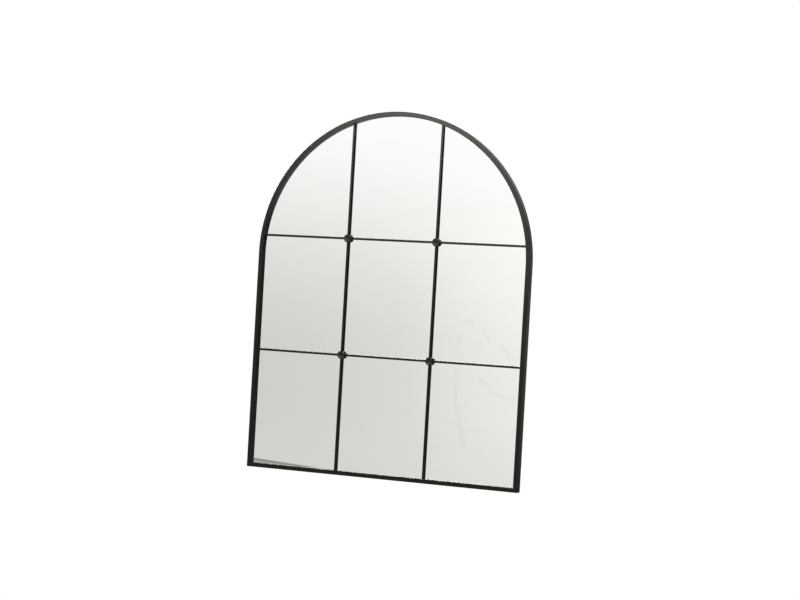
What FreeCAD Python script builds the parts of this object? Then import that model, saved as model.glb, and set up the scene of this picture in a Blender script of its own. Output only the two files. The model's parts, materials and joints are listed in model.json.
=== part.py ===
import FreeCAD, Part
import math
import os
import Sketcher

# Arched window mirror, hung on a wall, millimetres.
# Frame of reference: +X to the viewer's right, +Y into the wall, +Z up.
# Origin: on the wall plane, midway between the entry holes of the two keyhole hangers.
# In the pieces' own coordinates depth runs from the front of the frame towards the wall,
# and height runs up from the bottom edge of the frame.

os.makedirs("parts", exist_ok=True)
doc = FreeCAD.newDocument("ArchedWindowMirror")
Vector = FreeCAD.Vector
DEPTH_AXIS = Vector(0, 1, 0)
sub_parts = []


# ---------------------------------------------------------------- driving sizes

SIZES = {
    # frame
    "overall_width": 800,
    "overall_height": 1000,
    "frame_face": 12,
    "frame_depth": 24,
    "frame_wall": 1.5,
    "reveal_depth": 9,
    "seat_width": 6,
    "outer_rounding": 1.5,
    "inner_rounding": 1,
    # glazing bars and rosettes
    "bar_size": 6,
    "bar_setback": 3.2,
    "bar_rounding": 0.8,
    "upper_bar_rise": 50,
    "rosette_radius": 11,
    "rosette_height": 4,
    "rosette_rounding": 1.3,
    "dish_radius": 8.8,
    "dish_depth": 1.8,
    "rosette_screw_length": 6.5,
    "low_head_height": 1.4,
    "low_head_rounding": 0.8,
    "low_recess_depth": 0.7,
    "head_lift": 0.2,
    # glass, tape and backing board
    "tape_thickness": 0.8,
    "glass_margin": 3.5,
    "glass_thickness": 4,
    "board_thickness": 5,
    # lugs, turn buttons and their screws
    "lug_reach": 8,
    "lug_width": 10,
    "lug_clearance": 0.3,
    "weld_gap": 0.05,
    "pivot_inset": 4.5,
    "button_length": 22,
    "button_width": 7,
    "button_thickness": 1.2,
    "swivel_clearance": 0.1,
    "washer_radius": 3.3,
    "washer_thickness": 0.5,
    "screw_radius": 1.45,
    "screw_length": 6,
    "head_radius": 2.8,
    "head_height": 2,
    "head_rounding": 1.1,
    "recess_length": 3,
    "recess_width": 0.8,
    "recess_depth": 1.1,
    "thread_clearance": 0.05,
    "pivot_clearance": 0.08,
    "side_button_low": 150,
    "side_button_high": 450,
    "bottom_button_offset": 200,
    "arch_button_angle": 45,
    # keyhole hangers and bumpers
    "hanger_drop": 40,
    "hanger_width": 40,
    "hanger_length": 44,
    "hanger_thickness": 2,
    "hanger_rounding": 3,
    "keyhole_inset": 24,
    "keyhole_radius": 5,
    "keyhole_slot_radius": 2.5,
    "keyhole_rise": 11,
    "bumper_radius": 6,
    "bumper_rounding": 1,
    "bumper_side": 60,
    "bumper_height": 60,
}

sheet = doc.addObject("Spreadsheet::Sheet", "Sizes")
for row, (alias, number) in enumerate(SIZES.items(), start=1):
    sheet.set(f"A{row}", alias)
    sheet.set(f"B{row}", str(number))
    sheet.setAlias(f"B{row}", alias)
doc.recompute()


class Size:
    """A value together with the sheet formula that gives it."""

    def __init__(self, value, formula):
        self.value = value
        self.formula = formula

    def __add__(self, other):
        other = as_size(other)
        return Size(self.value + other.value, f"({self.formula} + {other.formula})")

    def __sub__(self, other):
        other = as_size(other)
        return Size(self.value - other.value, f"({self.formula} - {other.formula})")

    def __mul__(self, other):
        other = as_size(other)
        return Size(self.value * other.value, f"({self.formula} * {other.formula})")

    def __truediv__(self, other):
        other = as_size(other)
        return Size(self.value / other.value, f"({self.formula} / {other.formula})")

    def __neg__(self):
        return Size(-self.value, f"(-1 * {self.formula})")


def as_size(item):
    if isinstance(item, Size):
        return item
    return Size(float(item), str(item))


def cell(alias):
    """The size held by one cell of the sheet."""
    return Size(float(sheet.get(alias)), f"Sizes.{alias}")


def cosine(angle):
    return Size(math.cos(math.radians(angle.value)), f"cos({angle.formula})")


def sine(angle):
    return Size(math.sin(math.radians(angle.value)), f"sin({angle.formula})")


ZERO = as_size(0)

# ---------------------------------------------------------------- derived sizes

half_width = cell("overall_width") / 2
springline = cell("overall_height") - half_width
face = cell("frame_face")
wall = cell("frame_wall")
frame_depth = cell("frame_depth")
hanger_height = springline - cell("hanger_drop")
screw_radius = cell("screw_radius")

# depths from the front of the frame, layer by layer
reveal_depth = cell("reveal_depth")
glass_front = reveal_depth + cell("tape_thickness")
glass_back = glass_front + cell("glass_thickness")
board_back = glass_back + cell("board_thickness")
lug_front = glass_back + cell("lug_clearance")
button_front = board_back + cell("swivel_clearance")
washer_front = button_front + cell("button_thickness") + cell("swivel_clearance")
head_seat = washer_front + cell("washer_thickness")
hanger_front = frame_depth - cell("hanger_thickness")

# distances in from the outer edge of the frame
seat_edge = face - cell("seat_width")
glass_edge = wall + cell("glass_margin")
pivot_edge = wall + cell("pivot_inset")
board_edge = wall + cell("lug_reach") + cell("lug_clearance")
keyhole_edge = wall + cell("keyhole_inset")

# glazing bars
bar_size = cell("bar_size")
bar_half = bar_size / 2
bar_front = cell("bar_setback")
pane_width = (half_width * 2 - face * 2 - bar_size * 2) / 3
bar_side = pane_width / 2 + bar_half
upper_bar = springline + cell("upper_bar_rise")
pane_height = (upper_bar - face - bar_size * 1.5) / 2
lower_bar = face + pane_height + bar_half
clear_radius = half_width - face
screw_hole = screw_radius + cell("thread_clearance")
rosette_seat = bar_front - cell("rosette_height") + cell("dish_depth") - cell("head_lift")


# ---------------------------------------------------------------- sketch helpers

def new_body(name, x=ZERO, depth=ZERO, height=ZERO, angle=None):
    """Body whose origin lies at x, depth and height, turned about the depth axis."""
    body = doc.addObject("PartDesign::Body", name)
    turn = FreeCAD.Rotation(DEPTH_AXIS, angle.value if angle else 0)
    body.Placement = FreeCAD.Placement(Vector(0, 0, 0), turn)
    body.setExpression("Placement.Base.x", x.formula)
    body.setExpression("Placement.Base.y", (depth - frame_depth).formula)
    body.setExpression("Placement.Base.z", (height - hanger_height).formula)
    if angle:
        body.setExpression("Placement.Rotation.Angle", angle.formula)
    return body


def new_sketch(body, plane_role):
    planes = [item for item in body.Origin.OriginFeatures if item.Role == plane_role]
    sketch = body.newObject("Sketcher::SketchObject", body.Name + "_sketch")
    sketch.AttachmentSupport = [(planes[0], "")]
    sketch.MapMode = "FlatFace"
    return sketch


def dimension(sketch, kind, *where_and_size):
    """Dimension a sketch point or curve from a sheet formula."""
    *where, size = where_and_size
    number = sketch.addConstraint(Sketcher.Constraint(kind, *where, size.value))
    sketch.setExpression(f"Constraints[{number}]", size.formula)


def pin(sketch, curve, end, x=None, y=None):
    """Hold one point of a curve at its distances from the sketch's origin."""
    if x:
        dimension(sketch, "DistanceX", -1, 1, curve, end, x)
    if y:
        dimension(sketch, "DistanceY", -1, 1, curve, end, y)


def join(sketch, curve, end, other, other_end):
    sketch.addConstraint(Sketcher.Constraint("Coincident", curve, end, other, other_end))


def point(x, y):
    return Vector(x.value, y.value, 0)


def add_line(sketch, start, finish):
    return sketch.addGeometry(Part.LineSegment(point(*start), point(*finish)))


def add_arc(sketch, centre, radius, first_angle, last_angle):
    circle = Part.Circle(point(*centre), Vector(0, 0, 1), radius.value)
    return sketch.addGeometry(Part.ArcOfCircle(circle, first_angle, last_angle))


def add_circle(sketch, x, y, radius):
    circle = sketch.addGeometry(Part.Circle(point(x, y), Vector(0, 0, 1), radius.value))
    pin(sketch, circle, 3, x, y)
    dimension(sketch, "Radius", circle, radius)


def polygon(sketch, corners):
    """Closed outline of straight lines through the corners."""
    lines = []
    for index, corner in enumerate(corners):
        lines.append(add_line(sketch, corner, corners[(index + 1) % len(corners)]))
        pin(sketch, lines[-1], 1, *corner)
    for index, line in enumerate(lines):
        join(sketch, line, 2, lines[(index + 1) % len(lines)], 1)


def step_towards(corner, other, distance):
    """Point at a distance from a corner towards a neighbour along an axis."""
    if abs(other[0].value - corner[0].value) > abs(other[1].value - corner[1].value):
        side = math.copysign(1, other[0].value - corner[0].value)
        return corner[0] + distance * side, corner[1]
    side = math.copysign(1, other[1].value - corner[1].value)
    return corner[0], corner[1] + distance * side


def rounded_polygon(sketch, corners):
    """Closed outline with edges along the axes; a corner's third entry is its radius."""
    count = len(corners)
    arrivals = []
    departures = []
    for index, (x, y, radius) in enumerate(corners):
        before = corners[index - 1]
        after = corners[(index + 1) % count]
        arrivals.append(step_towards((x, y), before, radius) if radius else (x, y))
        departures.append(step_towards((x, y), after, radius) if radius else (x, y))
    lines = []
    for index in range(count):
        line = add_line(sketch, departures[index], arrivals[(index + 1) % count])
        pin(sketch, line, 1, *departures[index])
        lines.append(line)
    for index, (x, y, radius) in enumerate(corners):
        incoming = lines[index - 1]
        outgoing = lines[index]
        if not radius:
            join(sketch, incoming, 2, outgoing, 1)
            continue
        pin(sketch, incoming, 2, *arrivals[index])
        enter = arrivals[index]
        leave = departures[index]
        centre = (enter[0] + leave[0] - x, enter[1] + leave[1] - y)
        first = math.atan2(enter[1].value - centre[1].value, enter[0].value - centre[0].value)
        last = math.atan2(leave[1].value - centre[1].value, leave[0].value - centre[0].value)
        forwards = (last - first) % (2 * math.pi) < math.pi
        if not forwards:
            first, last = last, first
        arc = add_arc(sketch, centre, radius, first, first + math.pi / 2)
        join(sketch, arc, 1 if forwards else 2, incoming, 2)
        join(sketch, arc, 2 if forwards else 1, outgoing, 1)
        dimension(sketch, "Radius", arc, radius)


def arch_outline(sketch, edge):
    """Window outline at a distance in from the frame's outer edge."""
    side = half_width - edge
    bottom_line = add_line(sketch, (-side, edge), (side, edge))
    right_line = add_line(sketch, (side, edge), (side, springline))
    arc = add_arc(sketch, (ZERO, springline), side, 0, math.pi)
    left_line = add_line(sketch, (-side, springline), (-side, edge))
    pin(sketch, bottom_line, 1, -side, edge)
    pin(sketch, right_line, 1, side, edge)
    join(sketch, bottom_line, 2, right_line, 1)
    join(sketch, right_line, 2, arc, 1)
    join(sketch, arc, 2, left_line, 1)
    join(sketch, left_line, 2, bottom_line, 1)
    pin(sketch, arc, 3, ZERO, springline)
    pin(sketch, arc, 1, y=springline)
    pin(sketch, arc, 2, y=springline)
    dimension(sketch, "Radius", arc, side)


# ---------------------------------------------------------------- feature helpers

def pad(body, sketch, length, reverse=False):
    feature = body.newObject("PartDesign::Pad", body.Name + "_pad")
    feature.Profile = sketch
    feature.Reversed = reverse
    feature.setExpression("Length", length.formula)
    sketch.Visibility = False
    return feature


def pocket(body, sketch, depth=None, reverse=False):
    """Cut to a depth, or right through when no depth is given."""
    feature = body.newObject("PartDesign::Pocket", body.Name + "_pocket")
    feature.Profile = sketch
    feature.Reversed = reverse
    if depth:
        feature.setExpression("Length", depth.formula)
    else:
        feature.Type = "ThroughAll"
    sketch.Visibility = False
    return feature


def turned(body, sketch, angle=360, reverse=False):
    """Solid turned about the depth axis of the body."""
    feature = body.newObject("PartDesign::Revolution", body.Name + "_turned")
    feature.Profile = sketch
    feature.ReferenceAxis = (sketch, ["V_Axis"])
    feature.Angle = angle
    feature.Reversed = reverse
    sketch.Visibility = False
    return feature


def sub_part(item):
    sub_parts.append(item)
    return item


def group(name, pieces):
    """Like pieces that share one node as separate solids."""
    compound = doc.addObject("Part::Compound", name)
    compound.Links = pieces
    return sub_part(compound)


# ---------------------------------------------------------------- frame

def section_corners():
    """Folded sheet section of the frame as (distance in from the edge, depth, rounding)."""
    inner_wall = face - wall
    return [
        (ZERO, ZERO, cell("outer_rounding")),
        (face, ZERO, cell("inner_rounding")),
        (face, reveal_depth, None),
        (seat_edge, reveal_depth, None),
        (seat_edge, reveal_depth - wall, None),
        (inner_wall, reveal_depth - wall, None),
        (inner_wall, wall, None),
        (wall, wall, None),
        (wall, frame_depth, None),
        (ZERO, frame_depth, None),
    ]


def mitre(body, corners):
    """Cut a corner of the frame along its mitre."""
    sketch = new_sketch(body, "XZ_Plane")
    polygon(sketch, corners)
    pocket(body, sketch)


def stile(name, side):
    """Upright of the frame, from the mitred bottom corner to the springline."""
    body = new_body(name)
    sketch = new_sketch(body, "XY_Plane")
    corners = [((inset - half_width) * -side, depth, radius) for inset, depth, radius in section_corners()]
    rounded_polygon(sketch, corners)
    pad(body, sketch, springline)
    outer = half_width * side
    inner = (half_width - face) * side
    mitre(body, [(outer, ZERO), (inner, ZERO), (inner, face)])
    return sub_part(body)


def arch_rail():
    """Half circle over the two stiles, of the same section."""
    body = new_body("arch_rail", height=springline)
    sketch = new_sketch(body, "XY_Plane")
    corners = [(inset - half_width, depth, radius) for inset, depth, radius in section_corners()]
    rounded_polygon(sketch, corners)
    turned(body, sketch, 180)
    return sub_part(body)


def bottom_rail():
    """Bottom of the frame, mitred to both stiles."""
    body = new_body("bottom_rail", x=-half_width)
    sketch = new_sketch(body, "YZ_Plane")
    corners = [(depth, inset, radius) for inset, depth, radius in section_corners()]
    rounded_polygon(sketch, corners)
    width = half_width * 2
    pad(body, sketch, width)
    mitre(body, [(ZERO, ZERO), (face, face), (ZERO, face)])
    mitre(body, [(width, ZERO), (width, face), (width - face, face)])
    return sub_part(body)


stile("left_stile", -1)
stile("right_stile", 1)
arch_rail()
bottom_rail()


# ---------------------------------------------------------------- glazing bars

def bar_section(sketch, centre):
    """Square bar with rounded corners, centred on a line, set back from the frame's front."""
    radius = cell("bar_rounding")
    back = bar_front + bar_size
    rounded_polygon(sketch, [
        (centre - bar_half, bar_front, radius),
        (centre + bar_half, bar_front, radius),
        (centre + bar_half, back, radius),
        (centre - bar_half, back, radius),
    ])


def bar_section_sideways(sketch, centre):
    """The same section in a plane across a level bar."""
    radius = cell("bar_rounding")
    back = bar_front + bar_size
    rounded_polygon(sketch, [
        (bar_front, centre - bar_half, radius),
        (back, centre - bar_half, radius),
        (back, centre + bar_half, radius),
        (bar_front, centre + bar_half, radius),
    ])


def upright_bar(name, side):
    """Bar from the bottom rail to the arch, with a tapped hole at each crossing."""
    body = new_body(name, height=face)
    centre = bar_side * side
    ceiling = cell("overall_height") - face
    base = new_sketch(body, "XY_Plane")
    bar_section(base, centre)
    pad(body, base, ceiling)
    top = new_sketch(body, "XZ_Plane")
    low, high = centre - bar_size, centre + bar_size
    spring = springline - face
    reach = [math.sqrt(clear_radius.value ** 2 - x.value ** 2) for x in (low, high)]
    angles = [math.atan2(rise, x.value) for rise, x in zip(reach, (low, high))]
    arc = add_arc(top, (ZERO, spring), clear_radius, angles[1], angles[0])
    left_line = add_line(top, (low, spring + reach[0]), (low, ceiling))
    lid = add_line(top, (low, ceiling), (high, ceiling))
    right_line = add_line(top, (high, ceiling), (high, spring + reach[1]))
    pin(top, arc, 3, ZERO, spring)
    dimension(top, "Radius", arc, clear_radius)
    pin(top, arc, 1, x=high)
    pin(top, arc, 2, x=low)
    pin(top, lid, 1, low, ceiling)
    pin(top, lid, 2, high, ceiling)
    join(top, arc, 2, left_line, 1)
    join(top, left_line, 2, lid, 1)
    join(top, lid, 2, right_line, 1)
    join(top, right_line, 2, arc, 1)
    pocket(body, top)
    holes = new_sketch(body, "XZ_Plane")
    for height in (lower_bar, upper_bar):
        add_circle(holes, centre, height - face, screw_hole)
    pocket(body, holes)
    return sub_part(body)


def level_bar(name, height, left, right):
    """Short bar between two faces at one height."""
    body = new_body(name, x=left)
    sketch = new_sketch(body, "YZ_Plane")
    bar_section_sideways(sketch, height)
    pad(body, sketch, right - left)
    return sub_part(body)


def coped_bar(name, height, side):
    """Level bar above the springline, from an upright bar to the curve of the arch."""
    inner = bar_side + bar_half
    body = new_body(name, x=inner * side)
    sketch = new_sketch(body, "YZ_Plane")
    bar_section_sideways(sketch, height)
    pad(body, sketch, half_width - inner, reverse=side < 0)
    cope = new_sketch(body, "XZ_Plane")
    low, high = height - bar_size, height + bar_size
    centre = (-inner * side, springline)
    outside = (half_width - inner + bar_size) * side
    rises = [height_at.value - springline.value for height_at in (low, high)]
    angles = [math.atan2(rise, side * math.sqrt(clear_radius.value ** 2 - rise ** 2)) for rise in rises]
    first, last = sorted(angle % (2 * math.pi) for angle in angles)
    arc = add_arc(cope, centre, clear_radius, first, last)
    reach = [centre[0] + clear_radius.value * math.cos(angle) for angle in angles]
    low_line = add_line(cope, (reach[0], low), (outside, low))
    side_line = add_line(cope, (outside, low), (outside, high))
    high_line = add_line(cope, (outside, high), (reach[1], high))
    low_end, high_end = (1, 2) if side > 0 else (2, 1)
    pin(cope, arc, 3, *centre)
    dimension(cope, "Radius", arc, clear_radius)
    pin(cope, arc, low_end, y=low)
    pin(cope, arc, high_end, y=high)
    pin(cope, side_line, 1, outside, low)
    pin(cope, side_line, 2, outside, high)
    join(cope, arc, low_end, low_line, 1)
    join(cope, low_line, 2, side_line, 1)
    join(cope, side_line, 2, high_line, 1)
    join(cope, high_line, 2, arc, high_end)
    pocket(body, cope)
    return sub_part(body)


upright_bar("left_upright_bar", -1)
upright_bar("right_upright_bar", 1)
inner_face = bar_side - bar_half
outer_face = bar_side + bar_half
coped_bar("upper_bar_left", upper_bar, -1)
level_bar("upper_bar_centre", upper_bar, -inner_face, inner_face)
coped_bar("upper_bar_right", upper_bar, 1)
level_bar("lower_bar_left", lower_bar, -clear_radius, -outer_face)
level_bar("lower_bar_centre", lower_bar, -inner_face, inner_face)
level_bar("lower_bar_right", lower_bar, outer_face, clear_radius)


# ---------------------------------------------------------------- screws

def screw(name, length, head, x, depth, height, angle=None, facing=1):
    """Screw with a cross recess in its head; facing is the side of the depth axis the head is on."""
    head_height, head_rounding, recess_depth = head
    head_radius = cell("head_radius")
    tip = -length * facing
    top = head_height * facing
    body = new_body(name, x, depth, height, angle)
    sketch = new_sketch(body, "XY_Plane")
    rounded_polygon(sketch, [
        (ZERO, tip, None),
        (screw_radius, tip, None),
        (screw_radius, ZERO, None),
        (head_radius, ZERO, None),
        (head_radius, top, head_rounding),
        (ZERO, top, None),
    ])
    turned(body, sketch)
    recess = new_sketch(body, "XZ_Plane")
    recess.setExpression("AttachmentOffset.Base.z", (-top).formula)
    long = cell("recess_length") / 2
    short = cell("recess_width") / 2
    polygon(recess, [
        (long, -short), (long, short), (short, short), (short, long),
        (-short, long), (-short, short), (-long, short), (-long, -short),
        (-short, -short), (-short, -long), (short, -long), (short, -short),
    ])
    pocket(body, recess, recess_depth, reverse=facing > 0)
    return body


PAN_HEAD = (cell("head_height"), cell("head_rounding"), cell("recess_depth"))
LOW_HEAD = (cell("low_head_height"), cell("low_head_rounding"), cell("low_recess_depth"))


# ---------------------------------------------------------------- rosettes

def rosette(name, side, height):
    """Round cast button with a hollowed face, seated on the crossing of two bars."""
    body = new_body(name, bar_side * side, bar_front, height)
    sketch = new_sketch(body, "XY_Plane")
    rise = cell("rosette_height")
    rim = cell("rosette_radius")
    rounded_polygon(sketch, [
        (screw_hole, ZERO, None),
        (screw_hole, -rise, None),
        (rim, -rise, cell("rosette_rounding")),
        (rim, ZERO, None),
    ])
    turned(body, sketch)
    dish_depth = cell("dish_depth")
    dish_radius = cell("dish_radius")
    ball_radius = (dish_radius * dish_radius + dish_depth * dish_depth) / (dish_depth * 2)
    ball = body.newObject("PartDesign::SubtractiveSphere", name + "_dish")
    ball.setExpression("Radius", ball_radius.formula)
    ball.setExpression("Placement.Base.y", (dish_depth - rise - ball_radius).formula)
    return sub_part(body)


rosette_screws = []
for row_name, row_height in (("upper", upper_bar), ("lower", lower_bar)):
    for side_name, side in (("left", -1), ("right", 1)):
        rosette(f"rosette_{row_name}_{side_name}", side, row_height)
        rosette_screws.append(screw(
            f"rosette_screw_{row_name}_{side_name}", cell("rosette_screw_length"), LOW_HEAD,
            bar_side * side, rosette_seat, row_height, facing=-1))
group("rosette_screws", rosette_screws)


# ---------------------------------------------------------------- glass and backing

def sheet_piece(name, depth, thickness, edges):
    """Flat piece of the window's outline; a second edge leaves a ring."""
    body = new_body(name, depth=depth)
    sketch = new_sketch(body, "XZ_Plane")
    for edge in edges:
        arch_outline(sketch, edge)
    pad(body, sketch, thickness, reverse=True)
    return sub_part(body)


sheet_piece("glazing_tape", reveal_depth, cell("tape_thickness"), [seat_edge, face])
sheet_piece("mirror_glass", glass_front, cell("glass_thickness"), [glass_edge])
sheet_piece("backing_board", glass_back, cell("board_thickness"), [board_edge])


# ---------------------------------------------------------------- lugs and turn buttons

side_x = half_width - pivot_edge
arch_angle = cell("arch_button_angle")
arch_x = side_x * cosine(arch_angle)
arch_height = springline + side_x * sine(arch_angle)
bottom_x = cell("bottom_button_offset")
side_low = cell("side_button_low")
side_high = cell("side_button_high")
half_turn = as_size(180)
quarter_turn = as_size(90)

# each holds x, height and the turn that points local +X into the window
FASTENING_POINTS = {
    "left_low": (-side_x, side_low, ZERO),
    "left_high": (-side_x, side_high, ZERO),
    "arch_left": (-arch_x, arch_height, arch_angle),
    "arch_right": (arch_x, arch_height, half_turn - arch_angle),
    "right_high": (side_x, side_high, half_turn),
    "right_low": (side_x, side_low, half_turn),
    "bottom_left": (-bottom_x, pivot_edge, -quarter_turn),
    "bottom_right": (bottom_x, pivot_edge, -quarter_turn),
}


def lug(name, x, height, angle):
    """Tapped block welded to the inside of the frame's wall beside the board."""
    body = new_body(name, x, lug_front, height, angle)
    sketch = new_sketch(body, "XZ_Plane")
    outer = cell("weld_gap") - cell("pivot_inset")
    inner = cell("lug_reach") - cell("pivot_inset")
    half = cell("lug_width") / 2
    polygon(sketch, [(outer, -half), (inner, -half), (inner, half), (outer, half)])
    add_circle(sketch, ZERO, ZERO, screw_hole)
    pad(body, sketch, board_back - lug_front, reverse=True)
    return body


def washer(name, x, height, angle):
    """Flat washer between a turn button and its screw's head."""
    body = new_body(name, x, washer_front, height, angle)
    sketch = new_sketch(body, "XZ_Plane")
    add_circle(sketch, ZERO, ZERO, cell("washer_radius"))
    add_circle(sketch, ZERO, ZERO, screw_hole)
    pad(body, sketch, cell("washer_thickness"), reverse=True)
    return body


def turn_button(name, x, height, angle):
    """Strip with round ends that swivels on its screw and holds the board in."""
    body = new_body(name, x, button_front, height, angle)
    sketch = new_sketch(body, "XZ_Plane")
    tip = cell("button_length")
    half = cell("button_width") / 2
    tail_arc = add_arc(sketch, (ZERO, ZERO), half, math.pi / 2, 3 * math.pi / 2)
    low_line = add_line(sketch, (ZERO, -half), (tip, -half))
    tip_arc = add_arc(sketch, (tip, ZERO), half, -math.pi / 2, math.pi / 2)
    high_line = add_line(sketch, (tip, half), (ZERO, half))
    pin(sketch, tail_arc, 3, ZERO, ZERO)
    pin(sketch, tip_arc, 3, tip, ZERO)
    dimension(sketch, "Radius", tail_arc, half)
    dimension(sketch, "Radius", tip_arc, half)
    pin(sketch, tail_arc, 1, x=ZERO)
    pin(sketch, tail_arc, 2, x=ZERO)
    pin(sketch, tip_arc, 1, x=tip)
    pin(sketch, tip_arc, 2, x=tip)
    join(sketch, tail_arc, 2, low_line, 1)
    join(sketch, low_line, 2, tip_arc, 1)
    join(sketch, tip_arc, 2, high_line, 1)
    join(sketch, high_line, 2, tail_arc, 1)
    add_circle(sketch, ZERO, ZERO, screw_radius + cell("pivot_clearance"))
    pad(body, sketch, cell("button_thickness"), reverse=True)
    return sub_part(body)


lugs = []
washers = []
button_screws = []
for place, (x, height, angle) in FASTENING_POINTS.items():
    turn_button("turn_button_" + place, x, height, angle)
    lugs.append(lug("lug_" + place, x, height, angle))
    washers.append(washer("washer_" + place, x, height, angle))
    button_screws.append(screw(
        "button_screw_" + place, cell("screw_length"), PAN_HEAD, x, head_seat, height, angle))
group("button_lugs", lugs)
group("button_washers", washers)
group("button_screws", button_screws)


# ---------------------------------------------------------------- hangers and bumpers

def hanger(name, side):
    """Plate welded to a stile's wall, with a keyhole that drops over a wall screw."""
    body = new_body(name, (half_width - keyhole_edge) * side, hanger_front, hanger_height)
    sketch = new_sketch(body, "XZ_Plane")
    outer = cell("keyhole_inset") * side
    inner = (cell("keyhole_inset") - cell("hanger_width")) * side
    half = cell("hanger_length") / 2
    radius = cell("hanger_rounding")
    rounded_polygon(sketch, [
        (outer, -half, None), (outer, half, None), (inner, half, radius), (inner, -half, radius)])
    pad(body, sketch, cell("hanger_thickness"), reverse=True)
    entry = new_sketch(body, "XZ_Plane")
    add_circle(entry, ZERO, ZERO, cell("keyhole_radius"))
    pocket(body, entry)
    slot = new_sketch(body, "XZ_Plane")
    narrow = cell("keyhole_slot_radius")
    rise = cell("keyhole_rise")
    top_arc = add_arc(slot, (ZERO, rise), narrow, 0, math.pi)
    left_line = add_line(slot, (-narrow, rise), (-narrow, ZERO))
    foot_line = add_line(slot, (-narrow, ZERO), (narrow, ZERO))
    right_line = add_line(slot, (narrow, ZERO), (narrow, rise))
    pin(slot, top_arc, 3, ZERO, rise)
    dimension(slot, "Radius", top_arc, narrow)
    pin(slot, top_arc, 1, y=rise)
    pin(slot, top_arc, 2, y=rise)
    pin(slot, foot_line, 1, -narrow, ZERO)
    pin(slot, foot_line, 2, narrow, ZERO)
    join(slot, top_arc, 2, left_line, 1)
    join(slot, left_line, 2, foot_line, 1)
    join(slot, foot_line, 2, right_line, 1)
    join(slot, right_line, 2, top_arc, 1)
    pocket(body, slot)
    return sub_part(body)


def bumper(name, side):
    """Rubber foot between the board and the wall at a bottom corner."""
    body = new_body(name, (half_width - cell("bumper_side")) * side, board_back, cell("bumper_height"))
    sketch = new_sketch(body, "XY_Plane")
    length = frame_depth - board_back
    rounded_polygon(sketch, [
        (ZERO, ZERO, None),
        (cell("bumper_radius"), ZERO, None),
        (cell("bumper_radius"), length, cell("bumper_rounding")),
        (ZERO, length, None),
    ])
    turned(body, sketch)
    return sub_part(body)


for side_name, side in (("left", -1), ("right", 1)):
    hanger("keyhole_hanger_" + side_name, side)
    bumper("wall_bumper_" + side_name, side)


# ---------------------------------------------------------------- checks and export

doc.recompute()
for item in doc.Objects:
    if "Invalid" in item.State or "Error" in item.State:
        raise RuntimeError(f"{item.Label} failed: {item.State}")
for item in sub_parts:
    if item.Shape.isNull() or not item.Shape.isValid():
        raise RuntimeError(f"{item.Label} has no valid shape")

for item in sub_parts:
    item.Shape.exportStep(f"parts/{item.Label}.step")
    box = item.Shape.BoundBox
    print(f"{item.Label}: {len(item.Shape.Solids)} solids, {item.Shape.Volume:.1f} mm3, "
          f"x {box.XMin:.2f} {box.XMax:.2f}, y {box.YMin:.2f} {box.YMax:.2f}, z {box.ZMin:.2f} {box.ZMax:.2f}")
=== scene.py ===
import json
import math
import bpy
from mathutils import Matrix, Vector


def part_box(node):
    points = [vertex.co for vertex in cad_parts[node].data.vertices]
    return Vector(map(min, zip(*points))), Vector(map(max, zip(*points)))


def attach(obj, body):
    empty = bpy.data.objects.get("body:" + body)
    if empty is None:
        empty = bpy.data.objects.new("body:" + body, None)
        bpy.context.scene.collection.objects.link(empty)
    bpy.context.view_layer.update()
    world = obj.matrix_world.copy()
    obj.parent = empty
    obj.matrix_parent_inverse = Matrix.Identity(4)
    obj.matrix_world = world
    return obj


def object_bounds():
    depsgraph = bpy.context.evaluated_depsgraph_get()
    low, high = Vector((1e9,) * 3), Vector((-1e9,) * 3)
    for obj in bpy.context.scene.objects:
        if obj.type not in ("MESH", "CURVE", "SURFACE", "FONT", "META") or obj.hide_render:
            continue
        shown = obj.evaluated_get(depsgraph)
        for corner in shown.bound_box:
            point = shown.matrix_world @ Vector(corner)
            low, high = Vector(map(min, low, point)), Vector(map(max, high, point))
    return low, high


bl_info = {
    "name": "Arched window mirror",
    "version": (1, 0, 0),
    "blender": (4, 5, 0),
    "location": "View3D > Sidebar > Mirror",
    "description": "Finishes the pieces of an arched window mirror and sets up its studio",
    "category": "Object",
}

import bmesh
import bpy
from bpy.props import FloatProperty, FloatVectorProperty, PointerProperty
from mathutils import Matrix, Vector, noise

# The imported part, in metres: x to the viewer's right, y into the wall, z up.
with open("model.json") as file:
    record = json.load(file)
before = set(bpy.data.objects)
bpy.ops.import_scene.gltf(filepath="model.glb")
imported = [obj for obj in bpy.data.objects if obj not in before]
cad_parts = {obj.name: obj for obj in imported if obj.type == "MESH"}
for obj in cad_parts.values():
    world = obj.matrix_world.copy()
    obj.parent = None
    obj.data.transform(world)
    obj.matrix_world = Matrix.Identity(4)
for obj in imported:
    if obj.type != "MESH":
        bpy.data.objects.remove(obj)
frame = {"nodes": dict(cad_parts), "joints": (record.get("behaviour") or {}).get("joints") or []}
CAD_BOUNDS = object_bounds()

FRAME_PIECES = ["left_stile", "right_stile", "arch_rail", "bottom_rail"]
BAR_PIECES = [
    "left_upright_bar", "right_upright_bar",
    "upper_bar_left", "upper_bar_centre", "upper_bar_right",
    "lower_bar_left", "lower_bar_centre", "lower_bar_right",
]
ROSETTES = [
    "rosette_upper_left", "rosette_upper_right", "rosette_lower_left", "rosette_lower_right",
]
HANGERS = ["keyhole_hanger_left", "keyhole_hanger_right"]
BUMPERS = ["wall_bumper_left", "wall_bumper_right"]
TURN_BUTTONS = sorted(name for name in frame["nodes"] if name.startswith("turn_button_"))

# Colours of wear and dirt, which nobody would set by hand.
RUBBED_POWDER = (0.06, 0.058, 0.055)
RUBBED_CASTING = (0.09, 0.085, 0.08)
RUBBED_ZINC = (0.75, 0.74, 0.72)
DUST_COLOUR = (0.30, 0.29, 0.27)
RUBBER_BLOOM = (0.3, 0.29, 0.28)
SANDED_EDGE = (0.45, 0.55, 0.50)
PALE_BACKING = (0.24, 0.25, 0.25)
WHITE = (1, 1, 1, 1)

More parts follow.
